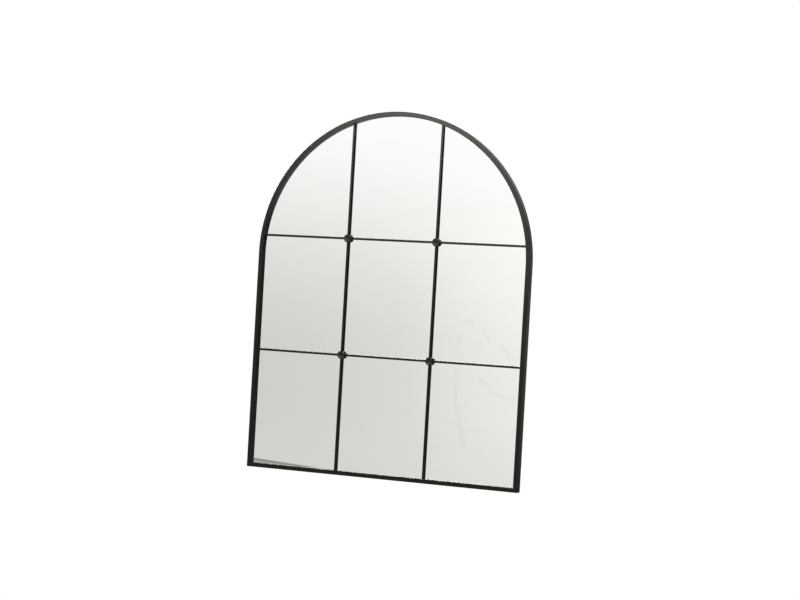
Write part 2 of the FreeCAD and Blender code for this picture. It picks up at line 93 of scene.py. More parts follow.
# Depth of the relief in paint, on the board, on zinc and on rubber, in metres.
PAINT_DEPTH = 0.00006
BOARD_DEPTH = 0.00012
ZINC_DEPTH = 0.00003
RUBBER_DEPTH = 0.0001


# ---------------------------------------------------------------- sizes and colours

def colour_property(name, description, default):
    return FloatVectorProperty(
        name=name, description=description, default=default, subtype="COLOR", size=3, min=0, max=1)


def length_property(name, description, default):
    return FloatProperty(
        name=name, description=description, default=default, min=0, unit="LENGTH", precision=4)


def share_property(name, description, default):
    return FloatProperty(
        name=name, description=description, default=default, min=0, max=1, subtype="FACTOR")


class PaintFinish(bpy.types.PropertyGroup):
    """Black paint of the frame, the bars and the rosettes."""

    frame_colour: colour_property(
        "Frame", "Powder coat of the outer frame", (0.0024, 0.0023, 0.0014))
    bar_colour: colour_property(
        "Bars", "Powder coat of the glazing bars", (0.0020, 0.0019, 0.0012))
    rosette_colour: colour_property(
        "Rosettes", "Paint on the cast rosettes", (0.0040, 0.0034, 0.0026))
    sheen_roughness: share_property("Roughness", "Roughness of the powder coat", 0.3)
    grain_size: length_property("Grain", "Width of the grain in the powder coat", 0.0011)
    dust: share_property("Dust", "Dust that lies on faces that look up", 0.12)


class MirrorFinish(bpy.types.PropertyGroup):
    """Silvered glass, its ground edge and the paint on its back."""

    silver_colour: colour_property(
        "Silver", "Reflection of the silvered glass", (0.905, 0.915, 0.903))
    edge_colour: colour_property("Edge", "Ground edge of the glass", (0.20, 0.30, 0.26))
    backing_colour: colour_property("Backing", "Paint that guards the silver", (0.19, 0.20, 0.20))
    wipe_marks: share_property("Wipe marks", "Faint marks left by wiping", 0.03)


class BackFinish(bpy.types.PropertyGroup):
    """Board, metal parts, foam and rubber on the back."""

    board_colour: colour_property("Board", "Fibreboard behind the glass", (0.26, 0.165, 0.095))
    fibre_colour: colour_property("Fibres", "Pale fibres in the board", (0.42, 0.30, 0.19))
    zinc_colour: colour_property(
        "Zinc", "Plating of buttons, washers and screws", (0.58, 0.58, 0.56))
    rubber_colour: colour_property("Rubber", "Wall bumpers", (0.035, 0.035, 0.035))
    foam_colour: colour_property("Foam", "Glazing tape under the glass", (0.018, 0.018, 0.018))


class WeldSizes(bpy.types.PropertyGroup):
    """Beads that hold the frame, the lugs and the hangers together."""

    corner_bead: length_property("Corner bead", "Radius of the beads in the bottom corners", 0.0020)
    seam_bead: length_property(
        "Seam bead", "Radius of the beads where the arch meets the stiles", 0.0016)
    lug_bead: length_property("Lug bead", "Radius of the beads beside the lugs", 0.0014)
    ripple: length_property("Ripple", "Distance from one ripple of a bead to the next", 0.0010)


class Studio(bpy.types.PropertyGroup):
    """Floor, reflected backdrop, lamps and camera."""

    floor_colour: colour_property("Floor", "Pale floor under the hung mirror", (0.82, 0.82, 0.81))
    rear_glow: share_property("Rear card", "Brightness of the card behind the mirror", 0.40)
    floor_drop: length_property("Floor drop", "Height of the mirror over the floor", 1.05)
    card_distance: length_property(
        "Card distance", "From the wall to the backdrop that the mirror shows", 4.0)
    front_power: FloatProperty(
        name="Front softbox", description="Soft light high in front", default=162, min=0,
        unit="POWER")
    softbox_height: length_property(
        "Softbox height", "Height of the front softbox over the wall mounts", 1.24)
    softbox_side: FloatProperty(
        name="Softbox side", description="Place of the front softbox to the right", default=-0.62,
        unit="LENGTH")
    back_power: FloatProperty(
        name="Back lamp", description="Soft light behind the mirror", default=75, min=0,
        unit="POWER")
    room_light: share_property("Room light", "Light that the white room gives all round", 0.45)
    camera_place: FloatVectorProperty(
        name="Camera", description="Where the camera stands", size=3, subtype="TRANSLATION",
        unit="LENGTH", default=(1.92781, -4.56774, -0.05201))
    camera_yaw: FloatProperty(
        name="Yaw", description="Turn of the camera to the left", default=0.39450, subtype="ANGLE")
    camera_pitch: FloatProperty(
        name="Pitch", description="Tilt of the camera upwards", default=-0.00374, subtype="ANGLE")
    camera_roll: FloatProperty(
        name="Roll", description="Roll of the camera", default=0.05725, subtype="ANGLE")
    focal_length: FloatProperty(
        name="Focal length", description="Focal length in millimetres", default=81.766, min=1)


# ---------------------------------------------------------------- nodes

def add_node(tree, kind, inputs=None, **settings):
    """New node; an input takes a number, a colour or the socket that feeds it."""
    item = tree.nodes.new(kind)
    for key, value in settings.items():
        setattr(item, key, value)
    for socket, value in (inputs or {}).items():
        if isinstance(value, bpy.types.NodeSocket):
            tree.links.new(value, item.inputs[socket])
        else:
            item.inputs[socket].default_value = value
    return item


def math_node(tree, operation, first, second, clamp=False):
    inputs = {0: first, 1: second}
    return add_node(
        tree, "ShaderNodeMath", inputs, operation=operation, use_clamp=clamp).outputs[0]


def vector_node(tree, operation, first, second):
    inputs = {0: first, 1: second}
    return add_node(tree, "ShaderNodeVectorMath", inputs, operation=operation).outputs["Vector"]


def dot_product(tree, first, second):
    inputs = {0: first, 1: second}
    return add_node(tree, "ShaderNodeVectorMath", inputs, operation="DOT_PRODUCT").outputs["Value"]


def vector_length(tree, vector):
    return add_node(tree, "ShaderNodeVectorMath", {0: vector}, operation="LENGTH").outputs["Value"]


def remap(tree, value, low, high, to_low=0.0, to_high=1.0, kind="LINEAR"):
    """Stretches low..high to to_low..to_high and stops at its ends."""
    inputs = {
        "Value": value, "From Min": low, "From Max": high, "To Min": to_low, "To Max": to_high}
    return add_node(tree, "ShaderNodeMapRange", inputs, interpolation_type=kind).outputs[0]


def mix_colours(tree, share, first, second):
    inputs = {0: share, 6: as_colour(first), 7: as_colour(second)}
    return add_node(tree, "ShaderNodeMix", inputs, data_type="RGBA").outputs[2]


def as_colour(value):
    return value if isinstance(value, bpy.types.NodeSocket) else (*value, 1)


def noise_node(tree, vector, scale, detail=3.0, roughness=0.5):
    inputs = {"Vector": vector, "Scale": scale, "Detail": detail, "Roughness": roughness}
    return add_node(tree, "ShaderNodeTexNoise", inputs).outputs["Fac"]


def axis_of(tree, vector, axis):
    return add_node(tree, "ShaderNodeSeparateXYZ", {0: vector}).outputs[axis]


def shaded(colour, share):
    """The colour made darker or lighter."""
    return tuple(min(1.0, channel * share) for channel in colour)


def new_group(name, inputs, outputs):
    """Empty node group; inputs maps names to defaults, a None default is a vector."""
    tree = bpy.data.node_groups.new(name, "ShaderNodeTree")
    for label, default in inputs.items():
        kind = "NodeSocketVector" if default is None else "NodeSocketFloat"
        socket = tree.interface.new_socket(label, in_out="INPUT", socket_type=kind)
        if default is not None:
            socket.default_value = default
    for label in outputs:
        tree.interface.new_socket(label, in_out="OUTPUT", socket_type="NodeSocketFloat")
    return tree, tree.nodes.new("NodeGroupInput").outputs, tree.nodes.new("NodeGroupOutput")


def powder_grain_group():
    """Orange peel of a powder coat, with slow changes of tone."""
    tree, given, result = new_group(
        "Powder grain", {"Vector": None, "Grain": 0.001}, ["Height", "Tone"])
    scale = math_node(tree, "DIVIDE", 1.0, given["Grain"])
    fine_scale = math_node(tree, "MULTIPLY", scale, 3.7)
    peel = noise_node(tree, given["Vector"], scale, detail=2.0)
    speck = noise_node(tree, given["Vector"], fine_scale, detail=2.0)
    fine = math_node(tree, "MULTIPLY", speck, 0.35)
    tree.links.new(math_node(tree, "ADD", peel, fine), result.inputs["Height"])
    drift = noise_node(tree, given["Vector"], scale=9.0, detail=4.0, roughness=0.6)
    tree.links.new(remap(tree, drift, 0.3, 0.7), result.inputs["Tone"])
    return tree


def edge_wear_group():
    """Thin, broken line of wear along sharp edges."""
    tree, given, result = new_group(
        "Edge wear", {"Vector": None, "Width": 0.0006, "Breakup": 260.0}, ["Wear"])
    rounded = add_node(tree, "ShaderNodeBevel", {"Radius": given["Width"]}, samples=6).outputs[0]
    plain = add_node(tree, "ShaderNodeNewGeometry").outputs["Normal"]
    agree = dot_product(tree, rounded, plain)
    edge = remap(tree, math_node(tree, "SUBTRACT", 1.0, agree), 0.02, 0.16)
    broken = noise_node(tree, given["Vector"], given["Breakup"], detail=5.0, roughness=0.7)
    chips = remap(tree, broken, 0.48, 0.62)
    tree.links.new(math_node(tree, "MULTIPLY", edge, chips), result.inputs["Wear"])
    return tree


def dust_group():
    """Fine dust on the faces that look up."""
    tree, given, result = new_group("Settled dust", {"Vector": None, "Amount": 0.1}, ["Dust"])
    normal = add_node(tree, "ShaderNodeNewGeometry").outputs["Normal"]
    upward = remap(tree, axis_of(tree, normal, "Z"), 0.55, 0.95)
    cloud = noise_node(tree, given["Vector"], scale=120.0, detail=6.0, roughness=0.65)
    layer = math_node(tree, "MULTIPLY", upward, remap(tree, cloud, 0.3, 0.75))
    tree.links.new(math_node(tree, "MULTIPLY", layer, given["Amount"]), result.inputs["Dust"])
    return tree


def plating_group():
    """Cloudy spangle and fine scratches of zinc plating."""
    tree, given, result = new_group(
        "Zinc plating", {"Vector": None, "Spangle": 900.0}, ["Cloud", "Scratch"])
    cells = add_node(
        tree, "ShaderNodeTexVoronoi", {"Vector": given["Vector"], "Scale": given["Spangle"]})
    grain = math_node(tree, "MULTIPLY", axis_of(tree, cells.outputs["Color"], "X"), 0.4)
    haze = noise_node(tree, given["Vector"], scale=160.0, detail=4.0, roughness=0.6)
    tree.links.new(math_node(tree, "ADD", grain, haze), result.inputs["Cloud"])
    streaks = add_node(
        tree, "ShaderNodeMapping", {"Vector": given["Vector"], "Scale": (400.0, 400.0, 5200.0)})
    scratch = noise_node(tree, streaks.outputs[0], scale=1.0, roughness=0.7)
    tree.links.new(scratch, result.inputs["Scratch"])
    return tree


def fibre_group():
    """Matted fibres of a pressed board, seen on its wide face."""
    tree, given, result = new_group(
        "Pressed fibres", {"Vector": None, "Fibre": 0.0008}, ["Fibre", "Tone", "Height"])
    scale = math_node(tree, "DIVIDE", 1.0, given["Fibre"])
    layers = []
    for angle, stretch in ((0.4, 9.0), (1.3, 7.0), (2.1, 8.0), (2.8, 6.0)):
        turned = add_node(tree, "ShaderNodeMapping", {
            "Vector": given["Vector"], "Rotation": (0.0, angle, 0.0), "Scale": (stretch, 1.0, 1.0)},
            vector_type="TEXTURE")
        strand = noise_node(tree, turned.outputs[0], scale, detail=2.0, roughness=0.6)
        layers.append(remap(tree, strand, 0.56, 0.68))
    matted = layers[0]
    for layer in layers[1:]:
        matted = math_node(tree, "MAXIMUM", matted, layer)
    tree.links.new(matted, result.inputs["Fibre"])
    tone = noise_node(tree, given["Vector"], scale=24.0, detail=6.0, roughness=0.65)
    tree.links.new(tone, result.inputs["Tone"])
    relief = math_node(tree, "ADD", matted, noise_node(tree, given["Vector"], scale))
    tree.links.new(relief, result.inputs["Height"])
    return tree


def pore_group():
    """Small pits of foam, rubber or a casting."""
    tree, given, result = new_group(
        "Fine pores", {"Vector": None, "Pore": 0.0005}, ["Pit", "Height"])
    scale = math_node(tree, "DIVIDE", 1.0, given["Pore"])
    cells = add_node(tree, "ShaderNodeTexVoronoi", {"Vector": given["Vector"], "Scale": scale})
    pit = remap(tree, cells.outputs["Distance"], 0.05, 0.45)
    coarse_scale = math_node(tree, "MULTIPLY", scale, 0.4)
    rough = noise_node(tree, given["Vector"], coarse_scale, detail=4.0, roughness=0.6)
    tree.links.new(pit, result.inputs["Pit"])
    tree.links.new(math_node(tree, "ADD", pit, rough), result.inputs["Height"])
    return tree


def crease_group():
    """Soft shadow of a fold along a straight line."""
    tree, given, result = new_group(
        "Cloth crease", {"Vector": None, "Start": None, "End": None, "Width": 0.02}, ["Shade"])
    offset = vector_node(tree, "SUBTRACT", given["Vector"], given["Start"])
    run = vector_node(tree, "SUBTRACT", given["End"], given["Start"])
    share = math_node(
        tree, "DIVIDE", dot_product(tree, offset, run), dot_product(tree, run, run), clamp=True)
    nearest = add_node(
        tree, "ShaderNodeVectorMath", {0: run, "Scale": share}, operation="SCALE").outputs[0]
    distance = vector_length(tree, vector_node(tree, "SUBTRACT", offset, nearest))
    reach = math_node(tree, "DIVIDE", distance, given["Width"], clamp=True)
    tree.links.new(math_node(tree, "SUBTRACT", 1.0, reach), result.inputs["Shade"])
    return tree


GROUP_MAKERS = {
    "Powder grain": powder_grain_group,
    "Edge wear": edge_wear_group,
    "Settled dust": dust_group,
    "Zinc plating": plating_group,
    "Pressed fibres": fibre_group,
    "Fine pores": pore_group,
    "Cloth crease": crease_group,
}


def place_group(tree, name, **values):
    """A shared effect in a material, with that material's own values."""
    group = bpy.data.node_groups.get(name) or GROUP_MAKERS[name]()
    item = add_node(tree, "ShaderNodeGroup", node_tree=group)
    tree.links.new(object_coordinates(tree), item.inputs["Vector"])
    for label, value in values.items():
        item.inputs[label].default_value = value
    return item.outputs


def object_coordinates(tree):
    found = tree.nodes.get("Place on the piece")
    if not found:
        found = add_node(tree, "ShaderNodeTexCoord", name="Place on the piece")
    return found.outputs["Object"]


# ---------------------------------------------------------------- materials

def new_material(name, **values):
    """Material whose shader's fixed values are set on the shader itself."""
    material = bpy.data.materials.new(name)
    material.use_nodes = True
    shader = material.node_tree.nodes["Principled BSDF"]
    for socket, value in values.items():
        shader.inputs[socket.replace("_", " ")].default_value = value
    return material, material.node_tree, shader


def bump(tree, shader, height, strength, distance):
    relief = add_node(
        tree, "ShaderNodeBump", {"Height": height, "Strength": strength, "Distance": distance})
    tree.links.new(relief.outputs[0], shader.inputs["Normal"])


def feed(tree, shader, socket, value):
    tree.links.new(value, shader.inputs[socket])


def powder_coat(name, finish, colour, wear_width, relief, rougher=0.0, grain=1.0):
    """Satin black powder coat over steel; rougher and grain depart from the common finish."""
    material, tree, shader = new_material(name, IOR=1.25, Specular_Tint=(1.0, 0.99, 0.92, 1))
    powder = place_group(tree, "Powder grain", Grain=finish.grain_size * grain)
    wear = place_group(tree, "Edge wear", Width=wear_width)["Wear"]
    settled = place_group(tree, "Settled dust", Amount=finish.dust)["Dust"]
    coat = mix_colours(tree, powder["Tone"], shaded(colour, 0.8), shaded(colour, 1.2))
    rubbed = mix_colours(tree, math_node(tree, "MULTIPLY", wear, 0.12), coat, RUBBED_POWDER)
    feed(tree, shader, "Base Color", mix_colours(tree, settled, rubbed, DUST_COLOUR))
    roughness = finish.sheen_roughness + rougher
    gloss = remap(tree, powder["Tone"], 0.0, 1.0, roughness - 0.03, roughness + 0.03)
    feed(tree, shader, "Roughness", math_node(tree, "ADD", gloss, settled, clamp=True))
    bump(tree, shader, powder["Height"], relief, PAINT_DEPTH)
    return material


def cast_paint(finish):
    """Black paint over cast iron, with pits left by the sand."""
    material, tree, shader = new_material(
        "rosette casting", IOR=1.30, Specular_Tint=(1.0, 0.97, 0.90, 1))
    powder = place_group(tree, "Powder grain", Grain=finish.grain_size)
    pores = place_group(tree, "Fine pores", Pore=0.0009)
    wear = place_group(tree, "Edge wear", Width=0.0005)["Wear"]
    colour = tuple(finish.rosette_colour)
    paint = mix_colours(tree, powder["Tone"], shaded(colour, 0.8), colour)
    worn = math_node(tree, "MULTIPLY", wear, 0.4)
    feed(tree, shader, "Base Color", mix_colours(tree, worn, paint, RUBBED_CASTING))
    smooth, rough = finish.sheen_roughness + 0.08, finish.sheen_roughness + 0.16
    feed(tree, shader, "Roughness", remap(tree, pores["Pit"], 0.0, 1.0, smooth, rough))
    relief = math_node(tree, "ADD", pores["Height"], powder["Height"])
    bump(tree, shader, relief, 0.15, PAINT_DEPTH)
    return material


def silvered_glass(settings):
    """Mirror on its front face, grey paint on its back and a ground edge."""
    material, tree, shader = new_material("silvered glass")
    facing = axis_of(tree, add_node(tree, "ShaderNodeNewGeometry").outputs["Normal"], "Y")
    front = math_node(tree, "LESS_THAN", facing, -0.5)
    back = math_node(tree, "GREATER_THAN", facing, 0.5)
    place = object_coordinates(tree)
    swept = add_node(tree, "ShaderNodeMapping", {
        "Vector": place, "Rotation": (0.0, 0.6, 0.0), "Scale": (2.0, 1.0, 14.0)})
    smears = noise_node(tree, swept.outputs[0], scale=1.5, detail=5.0, roughness=0.6)
    wiped = remap(tree, smears, 0.45, 0.75)
    clean = tuple(settings.silver_colour)
    silver = mix_colours(tree, wiped, clean, shaded(clean, 0.985))
    sanded = noise_node(tree, place, scale=700.0)
    edge = mix_colours(tree, sanded, tuple(settings.edge_colour), SANDED_EDGE)
    cover = mix_colours(tree, sanded, tuple(settings.backing_colour), PALE_BACKING)
    unsilvered = mix_colours(tree, back, edge, cover)
    feed(tree, shader, "Base Color", mix_colours(tree, front, unsilvered, silver))
    feed(tree, shader, "Metallic", front)
    gloss = math_node(tree, "MULTIPLY", wiped, settings.wipe_marks)
    matt = math_node(tree, "MULTIPLY", math_node(tree, "SUBTRACT", 1.0, front), 0.5)
    feed(tree, shader, "Roughness", math_node(tree, "ADD", gloss, matt))
    return material


def fibreboard(settings):
    """Pressed brown board with paler fibres matted in its face."""
    material, tree, shader = new_material("pressed fibreboard", IOR=1.45)
    fibres = place_group(tree, "Pressed fibres", Fibre=0.0006)
    base = tuple(settings.board_colour)
    patches = remap(tree, fibres["Tone"], 0.35, 0.65)
    ground = mix_colours(tree, patches, shaded(base, 0.86), base)
    share = math_node(tree, "MULTIPLY", fibres["Fibre"], 0.3)
    feed(tree, shader, "Base Color", mix_colours(tree, share, ground, tuple(settings.fibre_colour)))
    feed(tree, shader, "Roughness", remap(tree, fibres["Fibre"], 0.0, 1.0, 0.62, 0.8))
    bump(tree, shader, fibres["Height"], 0.35, BOARD_DEPTH)
    return material


def zinc_plate(name, settings, shade):
    """Bright zinc plating, worn and scratched at its edges."""
    material, tree, shader = new_material(name, Metallic=1.0)
    plating = place_group(tree, "Zinc plating", Spangle=1100.0)
    wear = place_group(tree, "Edge wear", Width=0.0003, Breakup=900.0)["Wear"]
    bright = shaded(settings.zinc_colour, shade)
    cloud = remap(tree, plating["Cloud"], 0.4, 0.95)
    plate = mix_colours(tree, cloud, shaded(bright, 0.72), bright)
    feed(tree, shader, "Base Color", mix_colours(tree, wear, plate, RUBBED_ZINC))
    feed(tree, shader, "Roughness", remap(tree, plating["Scratch"], 0.3, 0.7, 0.26, 0.42))
    bump(tree, shader, plating["Scratch"], 0.2, ZINC_DEPTH)
    return material


def porous_rubber(name, colour, roughness, pore, relief):
    """Foam or rubber with small pits and a little bloom."""
    material, tree, shader = new_material(name, IOR=1.5)
    pores = place_group(tree, "Fine pores", Pore=pore)
    bloom = place_group(tree, "Settled dust", Amount=0.2)["Dust"]
    # The pits are painted darker than the skin around them: painted shade in the pits.
    pit_shaded_skin = mix_colours(tree, pores["Pit"], colour, shaded(colour, 1.7))
    feed(tree, shader, "Base Color", mix_colours(tree, bloom, pit_shaded_skin, RUBBER_BLOOM))
    rough = roughness + 0.12
    feed(tree, shader, "Roughness", remap(tree, pores["Pit"], 0.0, 1.0, roughness, rough))
    bump(tree, shader, pores["Height"], relief, RUBBER_DEPTH)
    return material


def paint_nodes(names, material):
    """Gives CAD nodes their finished material."""
    for name in names:
        for place in frame["nodes"][name].material_slots:
            place.material = material


# ---------------------------------------------------------------- welds

BEAD_SIDES = 12
# Radius of a bead, as a share: between its ripples, at its ends and one ripple further in.
BEAD_VALLEY = 0.88
BEAD_END = 0.55
BEAD_SHOULDER = 0.9
# A bead swells by up to this share, so its middle lies that much deeper inside the frame.
BEAD_DRIFT = 0.10

# Gaps in metres: to the frame's outer face, its back edge, a hanger's back and a lug's back.
SIDE_GAP = 0.0002
REAR_GAP = 0.0006
HANGER_GAP = 0.0003
LUG_GAP = 0.0002
# Corner of a lug as seen from its button's screw, away from the board and along it.
LUG_OUTWARD = 0.0045
LUG_ALONG = 0.005


def weld_bead(bm, start, finish, radius, ripple):
    """Rippled bead of weld metal between two points, rounded off at its ends."""
    length = (finish - start).length
    rod = bmesh.new()
    bmesh.ops.create_cone(
        rod, cap_ends=True, segments=BEAD_SIDES, radius1=radius, radius2=radius, depth=length)
    runs = [edge for edge in rod.edges if abs(edge.verts[0].co.z - edge.verts[1].co.z) > length / 2]
    rings = max(4, 2 * round(length / ripple))
    bmesh.ops.subdivide_edges(rod, edges=runs, cuts=rings - 1)
    for vertex in rod.verts:
        share = vertex.co.z / length + 0.5
        ring = round(share * rings)
        swell = 1.0 if ring % 2 else BEAD_VALLEY
        place = Vector((start.x, start.z, share * length / ripple))
        drift = 1 + BEAD_DRIFT * noise.noise(place * 3)
        closing = 1.0
        if ring in (0, rings):
            closing = BEAD_END
        elif ring in (1, rings - 1):
            closing = BEAD_SHOULDER
        vertex.co.xy *= swell * drift * closing
    turn = (finish - start).to_track_quat("Z", "Y").to_matrix().to_4x4()
    rod.transform(Matrix.Translation((start + finish) / 2) @ turn)
    mesh = bpy.data.meshes.new("bead")
    rod.to_mesh(mesh)
    rod.free()
    bm.from_mesh(mesh)
    bpy.data.meshes.remove(mesh)


def linked_object(name, bm, material):
    """Makes a bmesh into an object of the scene."""
    mesh = bpy.data.meshes.new(name)
    bm.to_mesh(mesh)
    bm.free()
    mesh.materials.append(material)
    item = bpy.data.objects.new(name, mesh)
    bpy.context.scene.collection.objects.link(item)
    return item


# ---------------------------------------------------------------- operators: the object

class MIRROR_OT_frame(bpy.types.Operator):
    """Powder coat on the stiles, the arch and the bottom rail"""

    bl_idname = "mirror.frame"
    bl_label = "Frame"

    def execute(self, context):
        paint = context.scene.mirror_paint
        paint_nodes(FRAME_PIECES, powder_coat(
            "frame powder coat", paint, paint.frame_colour, wear_width=0.0005, relief=0.12))
        return {"FINISHED"}


class MIRROR_OT_bars(bpy.types.Operator):
    """Powder coat on the glazing bars"""

    bl_idname = "mirror.bars"
    bl_label = "Glazing bars"

    def execute(self, context):
        paint = context.scene.mirror_paint
        paint_nodes(BAR_PIECES, powder_coat(
            "bar powder coat", paint, paint.bar_colour, wear_width=0.0004, relief=0.06, grain=0.8))
        return {"FINISHED"}


class MIRROR_OT_rosettes(bpy.types.Operator):
    """Cast rosettes and the black screws in them"""

    bl_idname = "mirror.rosettes"
    bl_label = "Rosettes"

    def execute(self, context):
        paint = context.scene.mirror_paint
        paint_nodes(ROSETTES, cast_paint(paint))
        paint_nodes(["rosette_screws"], powder_coat(
            "black screw", paint, paint.rosette_colour, wear_width=0.0002, relief=0.15,
            rougher=-0.1, grain=0.5))
        return {"FINISHED"}


class MIRROR_OT_glass(bpy.types.Operator):
    """Silvered glass and the foam tape that it rests on"""

    bl_idname = "mirror.glass"
    bl_label = "Mirror glass"

    def execute(self, context):
        paint_nodes(["mirror_glass"], silvered_glass(context.scene.mirror_glass))
        foam = tuple(context.scene.mirror_back.foam_colour)
        paint_nodes(["glazing_tape"], porous_rubber(
            "glazing foam", foam, roughness=0.8, pore=0.0004, relief=0.5))
        return {"FINISHED"}


class MIRROR_OT_board(bpy.types.Operator):
    """Fibreboard behind the glass"""

    bl_idname = "mirror.board"
    bl_label = "Backing board"

    def execute(self, context):
        paint_nodes(["backing_board"], fibreboard(context.scene.mirror_back))
        return {"FINISHED"}


class MIRROR_OT_fasteners(bpy.types.Operator):
    """Turn buttons, washers and screws in zinc, lugs in the frame's paint"""

    bl_idname = "mirror.fasteners"
    bl_label = "Turn buttons"

    def execute(self, context):
        back = context.scene.mirror_back
        paint = context.scene.mirror_paint
        paint_nodes(TURN_BUTTONS, zinc_plate("plated button", back, shade=0.95))
        paint_nodes(
            ["button_washers", "button_screws"], zinc_plate("plated fastener", back, shade=1.05))
        paint_nodes(["button_lugs"], powder_coat(
            "lug powder coat", paint, paint.frame_colour, wear_width=0.0004, relief=0.35,
            rougher=0.05))
        return {"FINISHED"}


class MIRROR_OT_hangers(bpy.types.Operator):
    """Keyhole hangers and the rubber bumpers that meet the wall"""

    bl_idname = "mirror.hangers"
    bl_label = "Hangers and bumpers"

    def execute(self, context):
        paint = context.scene.mirror_paint
        paint_nodes(HANGERS, powder_coat(
            "hanger powder coat", paint, paint.frame_colour, wear_width=0.0007, relief=0.35))
        rubber = tuple(context.scene.mirror_back.rubber_colour)
        paint_nodes(BUMPERS, porous_rubber(
            "bumper rubber", rubber, roughness=0.6, pore=0.0007, relief=0.25))
        return {"FINISHED"}


class MIRROR_OT_welds(bpy.types.Operator):
    """Weld beads inside the frame, beside the lugs and at the hangers"""

    bl_idname = "mirror.welds"
    bl_label = "Welds"

    def execute(self, context):
        sizes = context.scene.mirror_welds
        paint = context.scene.mirror_paint
        bm = bmesh.new()

        def bead(x, z, front, back, radius, ripple=sizes.ripple):
            weld_bead(bm, Vector((x, front, z)), Vector((x, back, z)), radius, ripple)

        stile_low, stile_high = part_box("left_stile")
        side = -stile_low.x
        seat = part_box("glazing_tape")[0].y
        rear = stile_high.y - REAR_GAP
        corner_inset = SIDE_GAP + (1 + BEAD_DRIFT) * sizes.corner_bead
        seam_inset = SIDE_GAP + (1 + BEAD_DRIFT) * sizes.seam_bead
        for way in (-1, 1):
            corner = way * (side - corner_inset)
            bead(corner, stile_low.z + corner_inset, seat, rear, sizes.corner_bead)
            bead(way * (side - seam_inset), stile_high.z, seat, rear, sizes.seam_bead)
        for name in HANGERS:
            low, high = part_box(name)
            x = high.x if high.x > 0 else low.x
            for z in (low.z, high.z):
                bead(x, z, low.y, high.y - HANGER_GAP, sizes.lug_bead, sizes.ripple / 2)
        lug_low, lug_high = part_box("button_lugs")
        for joint in frame["joints"]:
            button_low, button_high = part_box(joint["child"])
            pivot = Vector(joint["pos_m"])
            outward = pivot - (button_low + button_high) / 2
            outward.y = 0
            outward.normalize()
            along = outward.cross(Vector((0, 1, 0)))
            for way in (-1, 1):
                corner = pivot + outward * LUG_OUTWARD + along * LUG_ALONG * way
                bead(corner.x, corner.z, lug_low.y, lug_high.y - LUG_GAP, sizes.lug_bead)

        for face in bm.faces:
            face.smooth = True
        welds = linked_object("weld_beads", bm, powder_coat(
            "weld powder coat", paint, paint.frame_colour, wear_width=0.0003, relief=0.5,
            rougher=0.06))
        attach(welds, "frame")
        return {"FINISHED"}


# ---------------------------------------------------------------- the stage

# Corners of the planes, each on its own face, and where they stand, in metres.
FLOOR_CORNERS = ((-7, -7), (7, 7))
CARD_CORNERS = ((-1.25, -1.12), (1.8, 1.55))
CARD_SIDE = -1.687
CARD_HEIGHT = -0.05
REAR_CARD_CORNERS = ((-4, -1.2), (4, 1.2))
REAR_CARD_PLACE = (0, 3.0, -0.1)
REAR_CARD_ROLL = math.radians(6)
# Distance from the mirror's foot at which the floor starts and ends its way to white.
FLOOR_FADE = (1.2, 4.0)

SOFTBOX_DISTANCE = 3.5
SOFTBOX_AIM = (0.0, 0.0, 0.3)
SOFTBOX_SIZE = (2.5, 0.65)
BACK_LAMP_PLACE = (-2.0, 1.8, 0.9)
BACK_LAMP_SIZE = (1.4, 1.0)

# A ray that has bounced more often than this sees the world at this share of its brightness.
BRIGHT_BOUNCES = 2.5
DIMMED_WORLD = 0.05

# Light of the glowing reflected backdrop, painted on it: its colour low down and high up, and the
# heights on its face between which the one turns into the other.
CARD_LOW = (0.68, 0.68, 0.65)
CARD_HIGH = (0.99, 0.98, 0.975)
CARD_CHANGE = (-0.45, 1.0)
# Light that grows from left to right, and how much faster it grows towards the right.
CARD_LIFT = 0.09
CARD_LIFT_GROWTH = 0.03
CARD_GLOW = (0.045, 0.04, 0.03)
CARD_STRENGTH = 1.1
CARD_RIM = (0.91, 0.91, 0.91)
# Height of the backdrop's floor at its middle, its fall to the right, and how dark the floor and
# the line along it are.
CARD_FLOOR = -0.95
CARD_FLOOR_FALL = 0.051
CARD_LINE_WIDTH = 0.007
CARD_LINE_DEPTH = 0.6
CARD_FLOOR_SHADE = 0.58
# Painted shade of soft folds of the backdrop, to the nearest centimetre: points across and up
# its face, width and depth.
CREASES = [
    ([(0.39, -0.35), (0.39, -0.52), (0.45, -0.75)], 0.018, 0.055),
    ([(0.51, -0.40), (0.60, -0.48), (0.70, -0.49)], 0.015, 0.055),
    ([(0.42, -0.13), (0.46, -0.13)], 0.022, 0.05),
    ([(0.51, -0.15), (0.55, -0.21)], 0.018, 0.045),
    ([(0.62, -0.24), (0.67, -0.28)], 0.018, 0.045),
    ([(0.40, -0.20), (0.39, -0.29)], 0.024, 0.03),
]
# Brightness of the light that the glowing card behind the mirror gives, from its foot to its top.
REAR_CARD_LIGHT_LEVELS = [0.0, 0.05, 0.5, 0.95, 1.0, 1.05, 1.15, 1.25, 1.4]


def stage_plane(name, corners, place, material):
    """Flat piece of the stage between two corners of its own plane."""
    (left, low), (right, high) = corners
    bm = bmesh.new()
    bmesh.ops.create_grid(bm, x_segments=1, y_segments=1, size=0.5)
    bmesh.ops.scale(bm, vec=(right - left, high - low, 1), verts=bm.verts)
    bmesh.ops.translate(bm, vec=((left + right) / 2, (low + high) / 2, 0), verts=bm.verts)
    item = linked_object(name, bm, material)
    item.matrix_world = place
    return item


def seen_rays(tree, rays):
    """1 for the rays that show a surface: from the camera, off gloss and through glass."""
    seen = math_node(tree, "MAXIMUM", rays["Is Camera Ray"], rays["Is Glossy Ray"])
    return math_node(tree, "MAXIMUM", seen, rays["Is Transmission Ray"])


